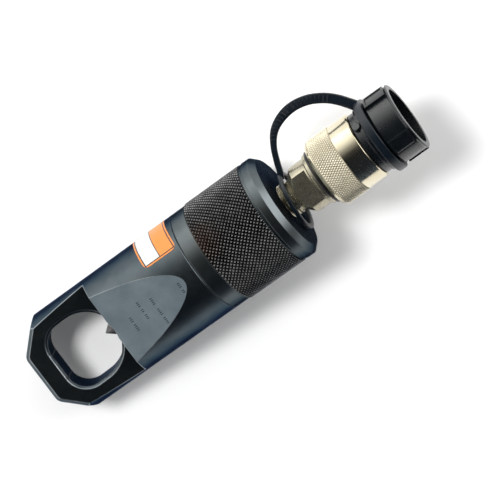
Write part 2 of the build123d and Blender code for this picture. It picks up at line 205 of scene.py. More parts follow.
def noise(owner, vector, scale, detail=3.0, rough=0.55):
    return node(owner, "TexNoise", {"Vector": vector, "Scale": scale, "Detail": detail,
                                    "Roughness": rough}).outputs["Fac"]


def ramp(owner, factor, stops, steps=False):
    made = node(owner, "ValToRGB", {"Fac": factor})
    made.color_ramp.interpolation = "CONSTANT" if steps else "LINEAR"
    elements = made.color_ramp.elements
    while len(elements) < len(stops):
        elements.new(0.5)
    for element, (position, colour) in zip(elements, stops):
        element.position = position
        element.color = (*colour, 1) if isinstance(colour, tuple) else (colour, colour, colour, 1)
    return made.outputs["Color"]


def between(owner, share, low, high):
    # colour between two others by a share from 0 to 1
    return node(owner, "Mix", {"Factor": share, "A": low, "B": high}, data_type="RGBA").outputs["Result"]


def rgba(colour):
    return (*colour, 1)


def steelFinish(name, s):
    # steel: cloudy colour, fine grain drawn out along one way, uneven polish, small pale scuffs, and where
    # the piece has knurl marks, colour by the knurl's height: tips towards a colour of wear and painted
    # highlight, valleys left dark as painted shade
    material, shader = surface(name, Metallic=s["metal"], IOR=s.get("ior", 1.5),
                               Specular_Tint=rgba(s.get("rim", (1, 1, 1))))
    spot = toolPlace(material)
    clouds = noise(material, spot, s.get("cloud", 0.07), 4.0)
    colour = ramp(material, clouds, [(0.32, s["dark"]), (0.68, s["light"])])
    scuffs = ramp(material, noise(material, toolPlace(material, (0.35, 1.6, 1.6)), 0.8, 6.0, 0.7),
                  [(s.get("scuffFrom", 0.66), 0.0), (s.get("scuffFrom", 0.66) + 0.12, s.get("scuff", 0.35))])
    colour = between(material, scuffs, colour, rgba(s["worn"]))
    # painted light: the knurl's tips take a bright colour that is wear and painted highlight; the valleys
    # keep the darker base colour as painted shade
    if s.get("tipWearAndHighlight"):
        marks = node(material, "Attribute", attribute_name="marks").outputs["Vector"]
        tips = node(material, "SeparateXYZ", {0: marks}).outputs["X"]
        patchy = ramp(material, noise(material, spot, 0.25, 3.0), [(0.3, 0.75), (0.6, 1.0)])
        reach = node(material, "Math", {0: tips, 1: patchy}, operation="MULTIPLY").outputs[0]
        share = ramp(material, reach, [(s["tips"][0], 0.0), (s["tips"][1], 1.0)])
        colour = between(material, share, colour, rgba(s["tipWearAndHighlight"]))
    if s.get("stain"):
        where, spread, tone, strength = s["stain"]
        centre = [a + b for a, b in zip(where, boreInRow)]
        off = node(material, "VectorMath", {0: spot, 1: centre}, operation="DISTANCE").outputs["Value"]
        limits = {"Value": off, "From Min": spread, "From Max": 0.0, "To Max": strength}
        near = node(material, "MapRange", limits, interpolation_type="SMOOTHSTEP").outputs["Result"]
        colour = between(material, near, colour, rgba(tone))
    connect(material, colour, shader.inputs["Base Color"])
    fine = noise(material, toolPlace(material, s.get("grain", (0.25, 3.0, 3.0))), 1.0, 5.0, 0.65)
    low, high = s["rough"]
    connect(material, ramp(material, fine, [(0.3, low), (0.7, high)]), shader.inputs["Roughness"])
    bump = node(material, "Bump", {"Height": fine, "Strength": s.get("bump", 0.05), "Distance": 0.0004})
    connect(material, bump.outputs["Normal"], shader.inputs["Normal"])
    return material


def mouldedFinish(name, s):
    # moulded plastic or rubber: fine pitting, cloudy dust and pale rubbing
    material, shader = surface(name, Metallic=0.0, IOR=s.get("ior", 1.5))
    spot = toolPlace(material)
    colour = ramp(material, noise(material, spot, 0.12, 5.0, 0.6), [(0.35, s["dark"]), (0.72, s["light"])])
    dust = ramp(material, noise(material, spot, 1.3, 6.0, 0.7), [(0.62, 0.0), (0.78, s.get("dust", 0.3))])
    colour = between(material, dust, colour, rgba(s["worn"]))
    connect(material, colour, shader.inputs["Base Color"])
    fine = noise(material, spot, s.get("speck", 1.8), 4.0, 0.6)
    low, high = s["rough"]
    connect(material, ramp(material, fine, [(0.3, low), (0.7, high)]), shader.inputs["Roughness"])
    bump = node(material, "Bump", {"Height": fine, "Strength": s.get("bump", 0.1), "Distance": 0.0004})
    connect(material, bump.outputs["Normal"], shader.inputs["Normal"])
    return material


steels = {"blued_steel": {"dark": (0.080, 0.100, 0.112), "light": (0.118, 0.134, 0.142),
                          "worn": (0.20, 0.21, 0.21), "rough": (0.26, 0.40), "metal": 1.0,
                          "rim": (0.02, 0.11, 0.22), "scuff": 0.35, "scuffFrom": 0.64,
                          "grain": (1.3, 1.7, 1.7), "bump": 0.10},
          "ground": {"dark": (0.17, 0.22, 0.25), "light": (0.25, 0.31, 0.34), "worn": (0.36, 0.40, 0.42),
                     "rough": (0.40, 0.54), "metal": 0.85, "ior": 1.8, "grain": (0.12, 3.5, 3.5),
                     "bump": 0.10, "scuff": 0.35},
          "edge": {"dark": (0.20, 0.24, 0.27), "light": (0.38, 0.41, 0.43), "worn": (0.5, 0.5, 0.5),
                   "rough": (0.30, 0.42), "metal": 1.0},
          "stamped": {"dark": (0.012, 0.018, 0.026), "light": (0.025, 0.032, 0.042),
                      "worn": (0.05, 0.06, 0.07), "rough": (0.50, 0.65), "metal": 0.3, "ior": 1.6},
          "black_steel": {"dark": (0.105, 0.122, 0.128), "light": (0.145, 0.160, 0.164),
                          "worn": (0.22, 0.22, 0.21), "rough": (0.27, 0.37), "metal": 1.0,
                          "rim": (0.02, 0.08, 0.16), "scuff": 0.3, "scuffFrom": 0.66},
          # knurl finish: its dark and light colours, darker than the plain steel, are painted shade in the
          # valleys; its tip colour is wear and painted highlight
          "black_knurl": {"dark": (0.016, 0.018, 0.020), "light": (0.034, 0.034, 0.032),
                          "worn": (0.08, 0.08, 0.08), "tipWearAndHighlight": (0.44, 0.44, 0.44), "rough": (0.28, 0.40),
                          "metal": 1.0, "cloud": 0.04, "rim": (0.03, 0.07, 0.15), "tips": (0.35, 1.0),
                          "stain": ((2.0, 9.5, 25.0), 15.0, (0.115, 0.062, 0.040), 0.55)},
          "screw_steel": {"dark": (0.05, 0.05, 0.055), "light": (0.09, 0.09, 0.10), "worn": (0.2, 0.2, 0.2),
                          "rough": (0.30, 0.42), "metal": 0.9},
          "spring_steel": {"dark": (0.28, 0.28, 0.29), "light": (0.42, 0.42, 0.43), "worn": (0.5, 0.5, 0.5),
                           "rough": (0.22, 0.34), "metal": 1.0},
          "plated_steel": {"dark": (0.36, 0.33, 0.25), "light": (0.52, 0.48, 0.36),
                           "worn": (0.62, 0.61, 0.56), "rough": (0.18, 0.34), "metal": 0.9, "cloud": 0.16,
                           "grain": (1.5, 1.5, 1.5), "bump": 0.03},
          "bright_steel": {"dark": (0.52, 0.53, 0.54), "light": (0.66, 0.67, 0.68), "worn": (0.7, 0.7, 0.7),
                           "rough": (0.14, 0.24), "metal": 1.0},
          "tool_steel": {"dark": (0.14, 0.14, 0.145), "light": (0.36, 0.35, 0.34),
                         "worn": (0.5, 0.48, 0.45), "rough": (0.26, 0.40), "metal": 1.0, "cloud": 0.5,
                         "scuff": 0.8, "scuffFrom": 0.55},
          "nickel_gold": {"dark": (0.70, 0.63, 0.45), "light": (0.84, 0.77, 0.60),
                          "worn": (0.80, 0.78, 0.72), "rough": (0.12, 0.20), "metal": 1.0,
                          "grain": (3.0, 0.6, 0.6)},
          # knurl finish: its dark and light colours, darker than the plain plated band, are painted shade in
          # the valleys; its tip colour is wear and painted highlight
          "gold_knurl": {"dark": (0.30, 0.26, 0.17), "light": (0.42, 0.37, 0.25),
                         "worn": (0.55, 0.50, 0.38), "tipWearAndHighlight": (0.97, 0.90, 0.72), "rough": (0.20, 0.32),
                         "metal": 0.55, "tips": (0.1, 0.7)}}
moulded = {"seal_rubber": {"dark": (0.018, 0.018, 0.019), "light": (0.035, 0.035, 0.036),
                           "worn": (0.07, 0.07, 0.07), "rough": (0.38, 0.52)},
           "black_plastic": {"dark": (0.008, 0.008, 0.010), "light": (0.018, 0.018, 0.020),
                             "worn": (0.05, 0.05, 0.05), "rough": (0.30, 0.42)},
           "guide_plastic": {"dark": (0.58, 0.54, 0.42), "light": (0.68, 0.64, 0.52),
                             "worn": (0.5, 0.46, 0.38), "rough": (0.42, 0.55)},
           "strap_rubber": {"dark": (0.002, 0.005, 0.009), "light": (0.005, 0.009, 0.014),
                            "worn": (0.05, 0.065, 0.08), "rough": (0.28, 0.42), "ior": 1.5, "dust": 0.15},
           "cap_plastic": {"dark": (0.002, 0.003, 0.004), "light": (0.005, 0.007, 0.009),
                           "worn": (0.04, 0.05, 0.06), "rough": (0.22, 0.34), "ior": 1.7, "dust": 0.15}}
finish = {name: steelFinish(name.replace("_", ""), s) for name, s in steels.items()}
finish.update({name: mouldedFinish(name.replace("_", ""), s) for name, s in moulded.items()})
print("finishes made:", len(finish))

# Cutter head: a copy of the solid with small broken edges, a ground slope and short stamped strokes
head = {"radius": 26.4, "edge": 0.3, "slopeEdge": 0.35, "rearEdge": -9.0, "chiselEdge": 0.18, "crisp": 24,
        "slopeAngle": math.radians(10.2), "slopeHeight": 17.9, "slopeStart": -61.55, "rimAfter": 20,
        "slopeBlock": ((-2, 80), (-40, 40), (0, 40)), "strokeSize": (1.3, 0.42), "strokePitch": 0.98,
        "strokeDepth": 0.2,
        "strokes": [(-47.5, -6.7, 0.3, (4,)), (-40.0, -4.7, 4.6, (3, 6)), (-33.3, -11.6, 2.3, (4, 9, 10)),
                    (-17.6, -4.1, 1.5, (2,))], "anvil": -51.0, "anvilHalf": 6.4, "anvilReach": 2.6,
        "plate": 25.3, "plateFront": 1.15, "plateBack": 0.8}


def flatFaces(mesh):
    # joins triangles that lie in one plane into one face
    work = bmesh.new()
    work.from_mesh(mesh)
    bmesh.ops.remove_doubles(work, verts=work.verts, dist=1e-6)
    bmesh.ops.dissolve_limit(work, angle_limit=math.radians(0.6), verts=work.verts, edges=work.edges)
    bmesh.ops.recalc_face_normals(work, faces=work.faces)
    work.to_mesh(mesh)
    work.free()


def merged(name, cadNode):
    # copy of a CAD mesh with its loose triangles joined into flat faces
    mesh = frame["nodes"][cadNode].data.copy()
    flatFaces(mesh)
    piece = bpy.data.objects.new(name, mesh)
    bpy.context.scene.collection.objects.link(piece)
    return piece


def anvilFill():
    # prism on the plate, in the row frame, whose side is the flat wall that the nut rests against
    wall, plate, front, back = (head[key] for key in ("anvil", "plate", "plateFront", "plateBack"))
    far = wall - head["anvilReach"]
    profile = np.array([(far, 0), (wall - back, 0), (wall, back), (wall, plate - front),
                        (wall - front, plate), (far, plate)])
    y = np.array([-1.0, 1.0]) * head["anvilHalf"]
    x, z = np.tile(profile[:, 0], 2), np.tile(profile[:, 1], 2)
    points = np.stack([x, np.repeat(y, len(profile)), z], -1) / 1000
    count = len(profile)
    sides = [(k, (k + 1) % count, count + (k + 1) % count, count + k) for k in range(count)]
    mesh = bpy.data.meshes.new("anvilFill")
    mesh.from_pydata(points.tolist(), [], [*sides, tuple(range(count)), tuple(range(count, 2 * count))])
    return finishMesh("anvilFill", mesh)


def brokenEdges(piece, width, edgeMaterial, slopeShare=1.0, rearLimit=1e3):
    # bevels the edges above the crisp angle: those round the slope by a share of the width, and none
    # behind the rear limit
    mesh = piece.data
    work = bmesh.new()
    work.from_mesh(mesh)
    weight = work.edges.layers.float.new("bevel_weight_edge")
    for edge in work.edges:
        middle = (edge.verts[0].co + edge.verts[1].co) * 500
        along = (middle.x - originX) * cosTilt + (middle.z - originZ) * sinTilt
        if edge.calc_face_angle(0) < math.radians(head["crisp"]) or along > rearLimit:
            continue
        kinds = {face.material_index for face in edge.link_faces}
        onRim = len(kinds) == 2 and along > head["slopeStart"] + head["rimAfter"]
        edge[weight] = slopeShare if onRim else 1.0
    work.to_mesh(mesh)
    work.free()
    bevel = piece.modifiers.new("brokenEdges", "BEVEL")
    bevel.width = width / 1000
    bevel.segments = 2
    bevel.limit_method = "WEIGHT"
    bevel.use_clamp_overlap = False
    bevel.material = edgeMaterial
    return applied(piece)


def strokeCutter():
    # short upright bars in rows on the slope: eight corners each, sunk by the stroke's depth
    lengthX, widthY = (value / 2 for value in head["strokeSize"])
    centres = []
    for x, first, last, gaps in head["strokes"]:
        y = np.arange(first, last, head["strokePitch"])
        y = np.delete(y, [gap for gap in gaps if gap < y.size])
        centres.append(np.stack([np.full_like(y, x), y], 1))
    centres = np.concatenate(centres)
    corner = np.array([[i, j, k] for k in (-1, 1) for j in (-1, 1) for i in (-1, 1)], float)
    x = centres[:, :1] + corner[None, :, 0] * lengthX
    y = centres[:, 1:] + corner[None, :, 1] * widthY
    z = head["slopeHeight"] + (x - head["slopeStart"]) * math.tan(head["slopeAngle"])
    z = z + np.where(corner[None, :, 2] > 0, 1.0, -head["strokeDepth"])
    sides = np.array([[0, 2, 3, 1], [4, 5, 7, 6], [0, 1, 5, 4], [2, 6, 7, 3], [0, 4, 6, 2], [1, 3, 7, 5]])
    faces = (np.arange(len(centres))[:, None, None] * 8 + sides[None]).reshape(-1, 4)
    mesh = bpy.data.meshes.new("strokes")
    mesh.from_pydata(toRow(x, y, z).reshape(-1, 3).tolist(), [], faces.tolist())
    cutter = finishMesh("strokes", mesh)
    for name in ("blued_steel", "ground", "edge", "stamped"):
        mesh.materials.append(finish[name])
    mesh.polygons.foreach_set("material_index", np.full(len(mesh.polygons), 3, np.int32))
    return cutter


def slopeCutter():
    # block that lies on the slope's plane and takes the rest off the head's front
    x, y, up = (np.array(v, float) for v in head["slopeBlock"])
    x, y, up = (g.reshape(-1) for g in np.meshgrid(x, y, up, indexing="ij"))
    along, off = math.cos(head["slopeAngle"]), math.sin(head["slopeAngle"])
    points = toRow(head["slopeStart"] + x * along - up * off, y, head["slopeHeight"] + x * off + up * along)
    faces = [(0, 1, 3, 2), (4, 6, 7, 5), (0, 4, 5, 1), (2, 3, 7, 6), (0, 2, 6, 4), (1, 5, 7, 3)]
    mesh = bpy.data.meshes.new("slopeBlock")
    mesh.from_pydata(points.tolist(), [], faces)
    return finishMesh("slopeBlock", mesh)


def roundNormals(mesh, limit=0.02):
    # faces whose corners all lie on the head's cylinder are shaded with the cylinder's own normals
    places = np.empty(len(mesh.vertices) * 3, np.float32)
    mesh.vertices.foreach_get("co", places)
    places = places.reshape(-1, 3) * 1000 - np.array([originX, 0, originZ])
    lift = -places[:, 0] * sinTilt + places[:, 2] * cosTilt
    onRound = np.abs(np.hypot(places[:, 1], lift) - head["radius"]) < limit
    radial = np.stack([-lift * sinTilt, places[:, 1], lift * cosTilt], -1) / head["radius"]
    loops = np.empty(len(mesh.loops), np.int32)
    mesh.loops.foreach_get("vertex_index", loops)
    sizes = np.empty(len(mesh.polygons), np.int32)
    mesh.polygons.foreach_get("loop_total", sizes)
    faceOf = np.repeat(np.arange(len(sizes)), sizes)
    flats = np.empty(len(mesh.polygons) * 3, np.float32)
    mesh.polygons.foreach_get("normal", flats)
    whole = np.bincount(faceOf, weights=~onRound[loops], minlength=len(sizes)) == 0
    facing = np.einsum("ij,ij->i", flats.reshape(-1, 3)[faceOf], radial[loops]) > 0.95
    chosen = whole[faceOf] & facing
    current = np.empty(len(mesh.loops) * 3, np.float32)
    mesh.corner_normals.foreach_get("vector", current)
    mesh.normals_split_custom_set(np.where(chosen[:, None], radial[loops], current.reshape(-1, 3)).tolist())


def cutterHead():
    piece = cutBy(merged("cutterHead", "cutter_head"), anvilFill(), operation="UNION")
    flatFaces(piece.data)
    cutBy(piece, slopeCutter())
    mesh = piece.data
    mesh.materials.clear()
    for name in ("blued_steel", "ground", "edge", "stamped"):
        mesh.materials.append(finish[name])
    normals = np.empty(len(mesh.polygons) * 3, np.float32)
    mesh.polygons.foreach_get("normal", normals)
    lean = stance["tilt"] + head["slopeAngle"]  # the slope's lean in the row frame
    onSlope = normals.reshape(-1, 3) @ np.array([-math.sin(lean), 0, math.cos(lean)]) > 0.9999
    mesh.polygons.foreach_set("material_index", onSlope.astype(np.int32))
    brokenEdges(piece, head["edge"], 2, head["slopeEdge"], head["rearEdge"])
    cutBy(piece, strokeCutter(), head["crisp"])
    mesh = piece.data
    work = bmesh.new()
    work.from_mesh(mesh)
    for edge in work.edges:
        if len({face.material_index for face in edge.link_faces} & {0, 1}) == 2:
            edge.smooth = False
    for face in work.faces:
        face.smooth = True
    work.to_mesh(mesh)
    work.free()
    places = np.empty(len(mesh.vertices) * 3, np.float32)
    mesh.vertices.foreach_get("co", places)
    places[2::3] = np.maximum(places[2::3], 0)
    mesh.vertices.foreach_set("co", places)
    evened = piece.modifiers.new("evened", "WEIGHTED_NORMAL")
    evened.keep_sharp = True
    applied(piece)
    roundNormals(piece.data)
    return piece


def chiselBlade():
    piece = merged("chiselBlade", "chisel")
    piece.data.materials.clear()
    piece.data.materials.append(finish["tool_steel"])
    piece.data.materials.append(finish["edge"])
    brokenEdges(piece, head["chiselEdge"], 1)
    piece.data.shade_smooth()
    piece.data.set_sharp_from_angle(angle=math.radians(head["crisp"]))
    return piece


place(cutterHead(), "tool_body", "blued_steel", "cutter_head")
place(chiselBlade(), "ram", "tool_steel", "chisel")
print("head and chisel made")

# Barrel: shell with a cut diamond knurl, a broken front edge at the seam and a chamfered rear
barrel = {"seam": -7.4, "seamGroove": 0.4, "headRadius": 26.4, "gripRadius": 26.98, "gripEnd": 33.2,
          "bandRadius": 26.8, "groove": 0.7, "end": 40.9, "chamfer": 3.0, "pitch": 2.14, "depth": 0.62,
          "plainEdge": 0.45, "spigotRadius": 23.05, "spigotEnd": 2.7, "boreRadius": 21.0, "boreEnd": 30.0,
          "portRadius": 8.6, "portDepth": 7.0, "oilRadius": 3.0, "screwPlace": -3.7, "screwRadius": 2.05}


def knurlRows(x0, x1, pitch, count):
    # height of a diamond knurl, from 0 to 1, on a grid a quarter of its pitch wide: two sets of slanting
    # V grooves run where row plus column, and row minus column, come to a multiple of four, and between
    # them the height is the lower of two rounded ridges
    rows = 4 * round((x1 - x0) / pitch)
    ridge = np.array([0.0, 0.62, 1.0, 0.62])
    row, column = np.arange(rows + 1)[:, None], np.arange(count)[None, :]
    return np.linspace(x0, x1, rows + 1), np.minimum(ridge[(row + column) % 4], ridge[(row - column) % 4])


def barrelShell():
    # outline of (x, radius) turned about the axis, with knurl rows between its front and rear stretches
    s = barrel
    r, valley, inner = s["gripRadius"], s["gripRadius"] - s["depth"], s["spigotRadius"]
    count = 4 * round(turn * r / s["pitch"])
    knurlX, knurlUp = knurlRows(s["plainEdge"], s["gripEnd"] - s["plainEdge"], s["pitch"], count)
    low, grooveEnd = s["bandRadius"] - s["groove"], s["gripEnd"] + s["groove"]
    portStart = s["end"] - s["portDepth"]
    front = softened([(s["seam"], inner), (s["seam"], s["headRadius"] - s["seamGroove"]),
                      (s["seam"] + s["seamGroove"], s["headRadius"]), (0, s["headRadius"]),
                      (0, valley), (knurlX[0], valley + 0.05)], 0.25, closed=False)
    rear = softened([(knurlX[-1], valley), (s["gripEnd"], valley - 0.05), (s["gripEnd"], low),
                     (grooveEnd, low), (grooveEnd, s["bandRadius"]),
                     (s["end"] - s["chamfer"], s["bandRadius"]), (s["end"], s["bandRadius"] - s["chamfer"]),
                     (s["end"], s["portRadius"]), (portStart, s["portRadius"]), (portStart, s["oilRadius"]),
                     (s["boreEnd"], s["oilRadius"]), (s["boreEnd"], s["boreRadius"]),
                     (s["spigotEnd"], s["boreRadius"]), (s["spigotEnd"], inner), (s["seam"], inner)], 0.3,
                    closed=False)[:-1]
    x = np.concatenate([front[:, 0], knurlX[1:-1], rear[:, 0]])
    plain = [np.repeat(part[:, 1:], count, 1) for part in (front, rear)]
    radius = np.concatenate([plain[0], valley + knurlUp[1:-1] * s["depth"], plain[1]])
    marks = np.zeros((*radius.shape, 3))
    knurled = slice(len(front), len(front) + len(knurlX) - 2)
    marks[knurled, :, 0] = knurlUp[1:-1]
    marks[knurled, :, 1] = 1
    points = around(x[:, None], radius, angles(count)[None, :])
    points[..., 2] = np.maximum(points[..., 2], 0)
    piece = gridMesh("barrelShell", points, aroundU=True, aroundV=True, knurlFrom=len(front), sharp=18,
                     marks=marks)
    knurlMaterial(piece, "black_steel", "black_knurl")
    return cutBy(piece, pinPiece("screwHole", s["screwPlace"], 180, inner - 1, r + 1, s["screwRadius"]), 18)


def knurlMaterial(piece, plain, knurled):
    # second finish on the faces whose marks say that they belong to the knurl
    mesh = piece.data
    mesh.materials.append(finish[plain])
    mesh.materials.append(finish[knurled])
    values = np.empty(len(mesh.vertices) * 3, np.float32)
    mesh.attributes["marks"].data.foreach_get("vector", values)
    starts = np.empty(len(mesh.polygons), np.int32)
    mesh.polygons.foreach_get("loop_start", starts)
    corners = np.empty(len(mesh.loops), np.int32)
    mesh.loops.foreach_get("vertex_index", corners)
    inKnurl = values.reshape(-1, 3)[corners[starts], 1] > 0.5
    mesh.polygons.foreach_set("material_index", inKnurl.astype(np.int32))


def pinPiece(name, x, angle, low, high, radius, count=32, dome=0.0):
    # small cylinder on a spoke of the axis at an angle in degrees, from one radius to another
    rim = angles(count)[None, :]
    levels = np.array([[low], [low], [high - dome], [high], [high]])
    sizes = np.array([[0.0], [radius], [radius], [radius - dome], [0.0]])
    spoke = math.radians(angle)
    along, across = sizes * np.cos(rim), sizes * np.sin(rim)
    points = toRow(x + along, levels * math.sin(spoke) + across * math.cos(spoke),
                   levels * math.cos(spoke) - across * math.sin(spoke))
    return gridMesh(name, points, aroundV=True, sharp=30)


place(barrelShell(), "tool_body", "black_steel", "barrel")
print("barrel made")

# Coupler half
coupler = {"oilRadius": 4.0, "endChamfer": (1.4, 0.8), "sleeveBore": 9.4, "sleeveSeat": 64.4,
           "valveRadius": 7.4, "valveStart": 52.0, "threadPitch": 1.41, "threadDepth": 0.55,
           "shankRadius": 8.55, "shankStart": 33.9, "neckStart": 45.2, "neckRadius": 7.9, "coneStart": 46.6,
           "tailRadius": 12.3, "tailEnd": 58.9, "flat": 9.2, "flatEnd": 58.0, "threadStart": 40.2,
           "marks": [(52.6, 3.4), (53.6, 0.6), (54.4, -2.6)], "markRadius": 0.75, "markDepth": 0.2}


def couplerTail():
    # turned tail: its thread lowers the radius by a helix of rounded grooves, and two flats hold it to a
    # plane across the front and back
    s = coupler
    r, neck, wide, cone = s["shankRadius"], s["neckRadius"], s["tailRadius"], s["coneStart"]
    coneEnd = cone + wide - neck
    threads = np.arange(s["threadStart"], s["neckStart"] - 0.3, 0.1)
    slant = np.arange(cone + 0.5, coneEnd - 0.4, 0.2)
    oil, (chamferLong, chamferHigh) = s["oilRadius"], s["endChamfer"]
    rows = [softened([(s["shankStart"], oil), (s["shankStart"], r - chamferHigh),
                      (s["shankStart"] + chamferLong, r), (s["threadStart"] - 0.1, r)], 0.3, closed=False),
            np.stack([threads, np.full(threads.size, r)], 1),
            softened([(s["neckStart"] - 0.2, r), (s["neckStart"], r), (s["neckStart"], neck), (cone, neck),
                      (cone + 0.4, neck + 0.4)], 0.15, closed=False),
            np.stack([slant, slant - cone + neck], 1),
            softened([(coneEnd - 0.3, wide - 0.3), (coneEnd, wide), (s["flatEnd"], wide)], 0.3,
                     closed=False),
            softened([(s["flatEnd"] + 0.05, wide), (s["tailEnd"], wide), (s["tailEnd"], s["sleeveBore"]),
                      (s["sleeveSeat"], s["sleeveBore"]), (s["sleeveSeat"], s["valveRadius"]),
                      (s["valveStart"], s["valveRadius"]), (s["valveStart"], oil), (s["shankStart"], oil)],
                     0.3, closed=False)[:-1]]
    outline = np.concatenate(rows)
    edge = math.degrees(math.acos(s["flat"] / wide))
    close = np.array([-0.6, -0.2, 0.2, 0.6])
    extra = np.concatenate([(base + close) % 360 for base in (edge, 180 - edge, 180 + edge, 360 - edge)])
    angle = np.radians(np.sort(np.concatenate([np.degrees(angles(180)), extra])))[None, :]
    x, radius = outline[:, :1], np.repeat(outline[:, 1:], angle.size, 1)
    threaded = (x >= s["threadStart"]) & (x < s["neckStart"] - 0.3) & (radius > r - 0.05)
    wave = 0.5 - 0.5 * np.cos(turn * (x / s["threadPitch"]) - angle)
    radius = radius - threaded * s["threadDepth"] * wave
    flats = (x > cone) & (x < s["flatEnd"] + 0.02) & (radius > s["flat"])
    limit = s["flat"] / np.maximum(np.abs(np.cos(angle)), 1e-3)
    radius = np.where(flats, np.minimum(radius, limit), radius)
    piece = gridMesh("couplerTail", around(x, radius, angle), aroundU=True, aroundV=True, sharp=25)
    piece.data.materials.append(finish["plated_steel"])
    for x, y in s["marks"]:
        dimple = pinPiece("mark", x, 0, s["flat"] - s["markDepth"], s["flat"] + 1, s["markRadius"])
        dimple.data.transform(Matrix.Translation((0, y / 1000, 0)))
        cutBy(piece, dimple, 25)
    return piece


place(couplerTail(), "tool_body", "plated_steel", "coupler_tail")
# sleeve and washer, as outlines of (x, radius)
sleeveOutline = [(58.9, 9.45), (58.9, 12.8), (59.5, 13.4), (61.0, 13.4), (61.0, 11.8), (69.2, 11.8),
                 (69.2, 11.0), (70.4, 11.0), (70.4, 11.8), (76.0, 11.8), (77.0, 10.8), (77.0, 5.0),
                 (75.2, 5.0), (75.2, 6.26), (73.4, 6.26), (73.4, 5.0), (71.0, 7.4), (64.4, 7.4),
                 (64.4, 9.45)]
washerOutline = [(61.0, 11.85), (61.0, 14.0), (62.1, 14.0), (62.1, 11.85)]
place(turnedPiece("couplerSleeve", sleeveOutline, soft=0.2), "tool_body", "plated_steel", "coupler_sleeve")
place(turnedPiece("blackWasher", washerOutline, soft=0.25), "tool_body", "black_plastic", "coupler_washer")

collar = {"radius": 17.45, "pitch": 2.15, "pitchAround": 1.28, "depth": 0.33, "start": 63.0,
          "knurl": (64.5, 77.1), "plainRadius": 17.1, "end": 87.6, "sleeveRadius": 11.85, "step": 68.6,
          "threadRadius": 14.8}


def screwCollar():
    # turned collar: rounded rear edge, fine diamond knurl, plain polished band in front
    s = collar
    radius, low, plain = s["radius"], s["radius"] - s["depth"], s["plainRadius"]
    first, last = s["knurl"]
    count = 4 * round(turn * radius / s["pitchAround"])
    knurlX, knurlUp = knurlRows(first, last, s["pitch"], count)
    rear = softened([(s["start"], s["sleeveRadius"]), (s["start"], 16.05), (first - 0.1, low),
                     (first, low)], 0.3, closed=False)
    front = softened([(last, low), (last + 0.2, low), (last + 0.4, plain), (s["end"] - 0.7, plain),
                      (s["end"], plain - 0.7), (s["end"], s["threadRadius"]),
                      (s["step"], s["threadRadius"]), (s["step"], s["sleeveRadius"]),
                      (s["start"], s["sleeveRadius"])], 0.25, closed=False)[:-1]
    x = np.concatenate([rear[:, 0], knurlX[1:-1], front[:, 0]])
    rows = np.concatenate([np.repeat(rear[:, 1:], count, 1), low + knurlUp[1:-1] * s["depth"],
                           np.repeat(front[:, 1:], count, 1)])
    marks = np.zeros((*rows.shape, 3))
    knurled = slice(len(rear), len(rear) + len(knurlX) - 2)
    marks[knurled, :, 0] = knurlUp[1:-1]
    marks[knurled, :, 1] = 1
    points = around(x[:, None], rows, angles(count)[None, :])
    piece = gridMesh("screwCollar", points, aroundU=True, aroundV=True, knurlFrom=len(rear), sharp=18,
                     marks=marks)
    knurlMaterial(piece, "nickel_gold", "gold_knurl")
    return piece


place(screwCollar(), "collar", "nickel_gold", "coupler_collar")
print("coupler made")

# Dust cap: turned plug and cup; grip pads and the boss are raised by angle and length
cap = {"padHeight": 1.62, "padHalf": 4.0, "padFirst": 67.0, "padStart": 98.1, "padEnd": 109.0,
       "pocketDepth": 0.55, "pocketWall": 1.0, "cupRadius": 17.0, "bossPlace": 90.3, "bossAngle": 38.0,
       "bossRadius": 2.1, "bossTop": 17.9}


def dustCap():
    # turned cap; within each pad's angle and length the radius rises, and sinks again in the pad's pocket
    s = cap
    cup, wallEnd = s["cupRadius"], s["padEnd"] - s["pocketWall"]
    outline = softened([(78.6, 9.0), (78.6, 13.75), (79.4, 14.55), (87.9, 14.55), (87.9, 15.8), (90.9, 15.8),
                        (90.9, 16.6), (92.5, 16.6), (92.5, 14.2), (97.1, 14.2), (97.1, 16.2), (97.9, cup),
                        (s["padStart"], cup), (s["padStart"] + s["pocketWall"], cup), (wallEnd, cup),
                        (s["padEnd"], cup), (109.7, 17.5), (110.4, 17.1), (110.4, 14.6), (100.4, 14.6),
                        (100.4, 0.0), (98.0, 0.0), (98.0, 9.0)], 0.25)
    side = math.degrees(math.asin(s["padHalf"] / 18.0))
    wall = math.degrees(s["pocketWall"] / 18.0)
    first = s["padFirst"] + 90 * np.arange(4)[:, None]
    steps = np.array([0.5, 0.1, -0.4, 0.4 - wall, -0.4 - wall])
    steps = np.concatenate([-side - steps, side + steps])[None, :]
    angle = np.sort(np.concatenate([np.degrees(angles(120)), (first + steps).reshape(-1) % 360]))
    away = np.abs((angle[None, :] - first + 180) % 360 - 180).min(0)[None, :]
    x, radius = outline[:, :1], np.repeat(outline[:, 1:], angle.size, 1)
    alongPad = np.minimum(x - s["padStart"], s["padEnd"] - x)
    raised = np.clip((side + 0.25 - away) / 0.5, 0, 1) * (alongPad > -0.04) * (radius > 16.9)
    inward = np.clip((side - wall + 0.3 - away) / 0.6, 0, 1)
    pocket = inward * np.clip((alongPad - s["pocketWall"] + 0.1) / 0.2, 0, 1)
    radius = radius + raised * (s["padHeight"] - pocket * s["pocketDepth"])
    points = around(x, radius, np.radians(angle)[None, :])
    return gridMesh("dustCap", points, aroundU=True, aroundV=True, sharp=32)


place(dustCap(), "cap", "cap_plastic", "dust_cap")
place(pinPiece("capBoss", cap["bossPlace"], cap["bossAngle"], 14.3, cap["bossTop"], cap["bossRadius"],
               dome=0.35), "cap", "cap_plastic")
print("dust cap made")

